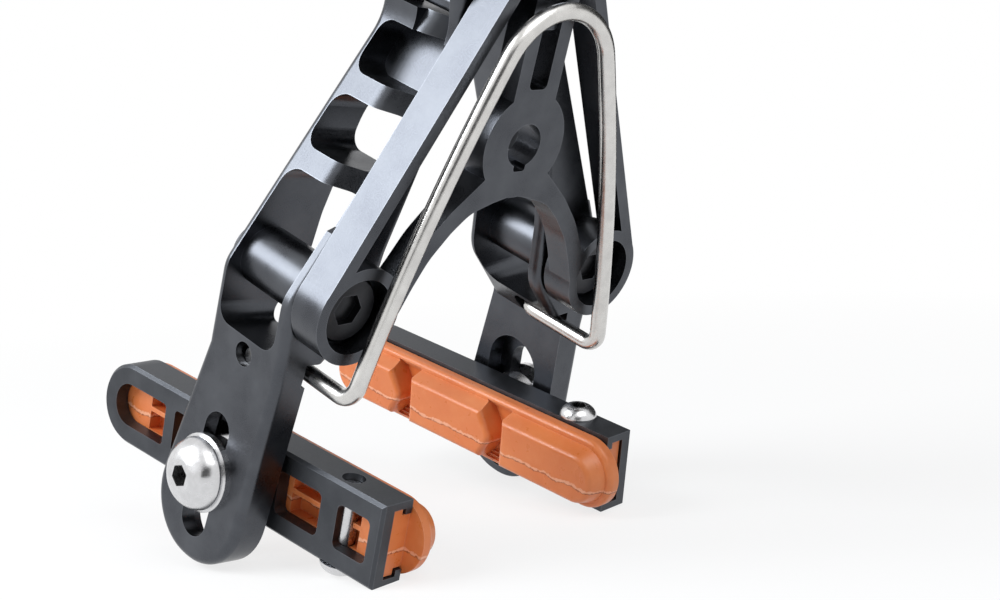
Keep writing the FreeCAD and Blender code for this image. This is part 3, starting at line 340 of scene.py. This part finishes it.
def moulded_rubber(side):
    """Orange brake compound: soft clouds, dusty patches, a painted highlight on the edges, fine moulded
    texture and a mould seam.
    """
    material, tree, shader = new_material(side + "_orange_compound")
    place = millimetres(tree)
    cloud = noise(tree, place, 0.11, 4.0)
    tone = ramp(tree, cloud, [(0.3, RUBBER_TONES[0]), (0.7, RUBBER_TONES[1])])
    dust = noise(tree, place, 0.6, 5.0)
    dusty = remap(tree, dust, 0.52, 0.75, 0.0, 0.35)
    tone = mix_colours(tree, dusty, tone, RUBBER_DUST)
    # Painted highlight: the rubber's edges are lightened towards a pale pink
    wear_and_edge_highlight = math_node(tree, "MULTIPLY", edge_mask(tree, 0.3), 0.4)
    tone = mix_colours(tree, wear_and_edge_highlight, tone, RUBBER_EDGE_HIGHLIGHT)
    flash, shade = mould_seam(tree, place, side)
    tone = mix_colours(tree, math_node(tree, "MULTIPLY", shade, 0.75), tone, SEAM_SHADE)
    # Painted highlight: the flash ridge is lightened to a pale pink above the painted shadow
    tone = mix_colours(tree, math_node(tree, "MULTIPLY", flash, 0.7), tone, SEAM_FLASH_HIGHLIGHT)
    tree.links.new(tone, shader.inputs["Base Color"])
    fine = noise(tree, place, 7.0, 3.0)
    tree.links.new(remap(tree, dust, 0.35, 0.7, 0.27, 0.44), shader.inputs["Roughness"])
    surface = bump(tree, dust, 0.05, 0.35)
    surface = bump(tree, fine, 0.015, 0.5, surface)
    tree.links.new(bump(tree, flash, 0.12, 0.6, surface), shader.inputs["Normal"])
    shader.inputs["Specular IOR Level"].default_value = 0.5
    return material


def give(node_name, material):
    data = nodes[node_name].data
    data.materials.clear()
    data.materials.append(material)


def middle(node_name):
    low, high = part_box(node_name)
    return (low + high) * (0.5 / MM)


def paint_nodes():
    machined = anodised("black_anodised", dark=(0.070, 0.074, 0.084), light=(0.100, 0.106, 0.118),
                        rough=0.31, grain_scale=9.0, grain_height=0.006, marks=0.35)
    blasted = anodised("black_blasted", dark=(0.060, 0.064, 0.072), light=(0.088, 0.093, 0.103),
                       rough=0.46, grain_scale=6.0, grain_height=0.02, marks=0.1)
    blackened = anodised("blackened_steel", dark=(0.040, 0.041, 0.045), light=(0.070, 0.071, 0.076),
                         rough=0.40, grain_scale=8.0, grain_height=0.008, marks=0.3)
    bronze = bearing_bronze()
    for name in ("bridge_frame", "cable_cam", "barrel_adjuster", "adjuster_lock_ring"):
        give(name, machined)
    give("cable_anchor_bolt", turned_steel("turned_anchor", middle("cable_anchor_bolt"), (0, 1, 0)))
    angle = math.radians(ARM_OPENING)
    for side, sign in (("left", -1), ("right", 1)):
        bolt_axis = (sign * math.cos(angle), 0.0, math.sin(angle))
        screw_axis = tuple(pad_axes(side)[1])
        across = (0.0, 1.0, 0.0)
        give(side + "_arm", machined)
        give(side + "_pad_holder", blasted)
        give(side + "_brake_pad", moulded_rubber(side))
        for part in ("pivot_bolt", "pivot_nut"):
            give(side + "_" + part, blackened)
        for part in ("front_bush", "rear_bush"):
            give(side + "_" + part, bronze)
        for part, axis in (("front_thrust_washer", across), ("rear_thrust_washer", across),
                           ("pad_bolt", bolt_axis), ("bolt_washer", bolt_axis), ("seat_washer", bolt_axis),
                           ("domed_washer", bolt_axis), ("pad_screw", screw_axis),
                           ("roller_pin", across), ("cam_roller", across)):
            name = side + "_" + part
            give(name, turned_steel("turned_" + name, middle(name), axis))


def arc(centre, first, second, radius, start, stop, count):
    """Points on an arc in the plane of two unit vectors, angles in degrees."""
    points = []
    for index in range(count + 1):
        angle = math.radians(start + (stop - start) * index / count)
        points.append(centre + first * (radius * math.cos(angle)) + second * (radius * math.sin(angle)))
    return points


def spring_path(sign):
    """The right or the left half of the wire's centre line, from the top of the loop to its hooked end."""
    across = Vector((1, 0, 0))
    back = Vector((0, 1, 0))
    up = Vector((0, 0, 1))
    top_centre = Vector((0, WIRE_Y, SPRING_TOP - SPRING_TOP_RADIUS))
    points = arc(top_centre, across, up, SPRING_TOP_RADIUS, 90.0, SPRING_SHOULDER, TOP_STEPS)
    shoulder = math.radians(SPRING_SHOULDER)
    outward = Vector((math.cos(shoulder), 0, math.sin(shoulder)))
    leg_centre = points[-1] - outward * SPRING_LEG_RADIUS
    points += arc(leg_centre, across, up, SPRING_LEG_RADIUS, SPRING_SHOULDER, SPRING_LEG_END, LEG_STEPS)[1:]
    end = math.radians(SPRING_LEG_END)
    down = Vector((math.sin(end), 0, -math.cos(end)))
    corner = points[-1] + down * SPRING_TAIL
    hook = Vector((corner.x, SPRING_HOOK_Y, corner.z))
    bend_centre = corner - down * SPRING_BEND + back * SPRING_BEND
    points += arc(bend_centre, back * -1, down, SPRING_BEND, 0.0, 90.0, BEND_STEPS)[1:]
    start = hook - back * SPRING_BEND
    points += [points[-1].lerp(start, index / RUN_STEPS) for index in range(1, RUN_STEPS)]
    points += arc(start + across * SPRING_BEND, across * -1, back, SPRING_BEND, 0.0, 90.0, BEND_STEPS)
    points.append(Vector((SPRING_TIP_X, SPRING_HOOK_Y, corner.z)))
    return [Vector((sign * p.x, p.y, p.z)) * MM for p in points]


def wire_along(name, path):
    """A round closed tube along the points, with a map of its girth and its length in millimetres."""
    mesh = bmesh.new()
    layer = mesh.loops.layers.uv.new("wire")
    tangents = []
    for index in range(len(path)):
        before = path[max(index - 1, 0)]
        after = path[min(index + 1, len(path) - 1)]
        tangents.append((after - before).normalized())
    outwards = Vector((math.copysign(1.0, path[-1].x), 0, 0))
    tangents[0] = outwards
    tangents[-1] = outwards
    normal = Vector((0, 1, 0))
    rings = []
    lengths = [0.0]
    for index, point in enumerate(path):
        if index:
            normal = tangents[index - 1].rotation_difference(tangents[index]) @ normal
            lengths.append(lengths[-1] + (point - path[index - 1]).length / MM)
        side = tangents[index].cross(normal)
        ring = []
        for turn in range(WIRE_SIDES):
            angle = 2 * math.pi * turn / WIRE_SIDES
            around = normal * math.cos(angle) + side * math.sin(angle)
            ring.append(mesh.verts.new(point + around * WIRE_RADIUS * MM))
        rings.append(ring)
    for index, (ring, following) in enumerate(zip(rings, rings[1:])):
        for turn in range(WIRE_SIDES):
            after = (turn + 1) % WIRE_SIDES
            face = mesh.faces.new((ring[turn], ring[after], following[after], following[turn]))
            face.smooth = True
            girth = (turn, turn + 1, turn + 1, turn)
            reach = (lengths[index], lengths[index], lengths[index + 1], lengths[index + 1])
            for loop, u, v in zip(face.loops, girth, reach):
                loop[layer].uv = (u / WIRE_SIDES, v)
    for cap in (mesh.faces.new(reversed(rings[0])), mesh.faces.new(rings[-1])):
        for edge in cap.edges:
            edge.smooth = False
    bmesh.ops.recalc_face_normals(mesh, faces=mesh.faces)
    data = bpy.data.meshes.new(name)
    mesh.to_mesh(data)
    mesh.free()
    piece = bpy.data.objects.new(name, data)
    bpy.context.scene.collection.objects.link(piece)
    return piece


def make_spring():
    """The wire in two halves that meet at the top of the loop, one on the side of each arm that it pulls."""
    steel = drawn_wire()
    for side, sign in (("left", -1), ("right", 1)):
        path = spring_path(sign)
        piece = wire_along("return_spring_" + side, path)
        piece.data.materials.append(steel)
        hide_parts("return_spring")
        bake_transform(piece)


def plane(name, centre_mm, up, size_mm, material):
    mesh = bpy.data.meshes.new(name)
    half = size_mm * MM / 2
    corners = [(-half, -half, 0), (half, -half, 0), (half, half, 0), (-half, half, 0)]
    mesh.from_pydata(corners, [], [(0, 1, 2, 3)])
    mesh.materials.append(material)
    sheet = bpy.data.objects.new(name, mesh)
    bpy.context.scene.collection.objects.link(sheet)
    sheet.matrix_world = Matrix.Translation(centre_mm * MM) @ up.to_track_quat("Z", "Y").to_matrix().to_4x4()
    return sheet


def floor_material():
    """White table: open from below, white to the eye and in reflections, with the object's shadow on it."""
    material, tree, shader = new_material("white_table")
    shader.inputs["Base Color"].default_value = FLOOR_COLOUR
    shader.inputs["Roughness"].default_value = 0.6
    shader.inputs["Specular IOR Level"].default_value = 0.0
    glow = add(tree, "ShaderNodeEmission", {"Color": WHITE, "Strength": 1.0})
    coords = add(tree, "ShaderNodeTexCoord")
    away = vector_math(tree, "LENGTH", coords.outputs["Object"])
    fade = remap(tree, away.outputs["Value"], *GLOW_FADE, GLOW_NEAR, 1.0)
    lifted = add(tree, "ShaderNodeMixShader")
    tree.links.new(math_node(tree, "MULTIPLY", seen_directly(tree), fade), lifted.inputs[0])
    tree.links.new(shader.outputs["BSDF"], lifted.inputs[1])
    tree.links.new(glow.outputs["Emission"], lifted.inputs[2])
    clear = add(tree, "ShaderNodeBsdfTransparent")
    side = add(tree, "ShaderNodeNewGeometry")
    one_sided = add(tree, "ShaderNodeMixShader")
    tree.links.new(side.outputs["Backfacing"], one_sided.inputs[0])
    tree.links.new(lifted.outputs["Shader"], one_sided.inputs[1])
    tree.links.new(clear.outputs["BSDF"], one_sided.inputs[2])
    tree.links.new(one_sided.outputs["Shader"], tree.nodes["Material Output"].inputs["Surface"])
    return material


def black_card(name, place_mm, size_mm):
    """A dark card beside the object, seen only in reflections."""
    material, _, shader = new_material(name)
    shader.inputs["Base Color"].default_value = CARD_COLOUR
    shader.inputs["Roughness"].default_value = 0.9
    card = plane(name, place_mm, place_mm * -1, size_mm, material)
    card.visible_camera = False
    card.visible_diffuse = False
    card.visible_shadow = False


def softbox(name, place_mm, size_mm, watts, colour=(1, 1, 1)):
    light = bpy.data.lights.new(name, "AREA")
    light.shape = "RECTANGLE"
    light.size = size_mm * MM
    light.size_y = size_mm * MM
    light.energy = watts
    light.color = colour
    lamp = bpy.data.objects.new(name, light)
    bpy.context.scene.collection.objects.link(lamp)
    aim = (place_mm * -1).to_track_quat("-Z", "Y").to_matrix().to_4x4()
    lamp.matrix_world = Matrix.Translation(place_mm * MM) @ aim
    lamp.visible_camera = False


def make_world():
    """White to the eye and in reflections, and a soft even fill for the rest."""
    world = bpy.data.worlds.new("studio")
    bpy.context.scene.world = world
    world.use_nodes = True
    tree = world.node_tree
    fill = tree.nodes["Background"]
    fill.inputs["Color"].default_value = FILL_COLOUR
    fill.inputs["Strength"].default_value = FILL_STRENGTH
    white = add(tree, "ShaderNodeBackground", {"Color": WHITE, "Strength": 1.0})
    chosen = add(tree, "ShaderNodeMixShader")
    tree.links.new(seen_directly(tree), chosen.inputs[0])
    tree.links.new(fill.outputs["Background"], chosen.inputs[1])
    tree.links.new(white.outputs["Background"], chosen.inputs[2])
    tree.links.new(chosen.outputs["Shader"], tree.nodes["World Output"].inputs["Surface"])


def make_camera():
    data = bpy.data.cameras.new("camera")
    data.lens = CAMERA_LENS
    data.sensor_width = CAMERA_SENSOR
    data.clip_start = 0.01
    camera = bpy.data.objects.new("camera", data)
    bpy.context.scene.collection.objects.link(camera)
    up = CAMERA_RIGHT.cross(CAMERA_FORWARD)
    turn = Matrix((CAMERA_RIGHT, up, CAMERA_FORWARD * -1)).transposed().to_4x4()
    camera.matrix_world = Matrix.Translation(CAMERA_PLACE * MM) @ turn
    bpy.context.scene.camera = camera


def make_studio():
    plane("floor", FLOOR_POINT, FLOOR_UP, FLOOR_SIZE, floor_material())
    softbox("key_softbox", KEY_PLACE, KEY_SIZE, KEY_POWER, KEY_COLOUR)
    softbox("top_softbox", TOP_PLACE, TOP_SIZE, TOP_POWER)
    black_card("right_card", RIGHT_CARD_PLACE, RIGHT_CARD_SIZE)
    black_card("camera_card", CAMERA_CARD_PLACE, CAMERA_CARD_SIZE)
    make_world()
    bpy.context.scene.view_settings.view_transform = "Standard"


paint_nodes()
make_spring()
make_camera()
make_studio()
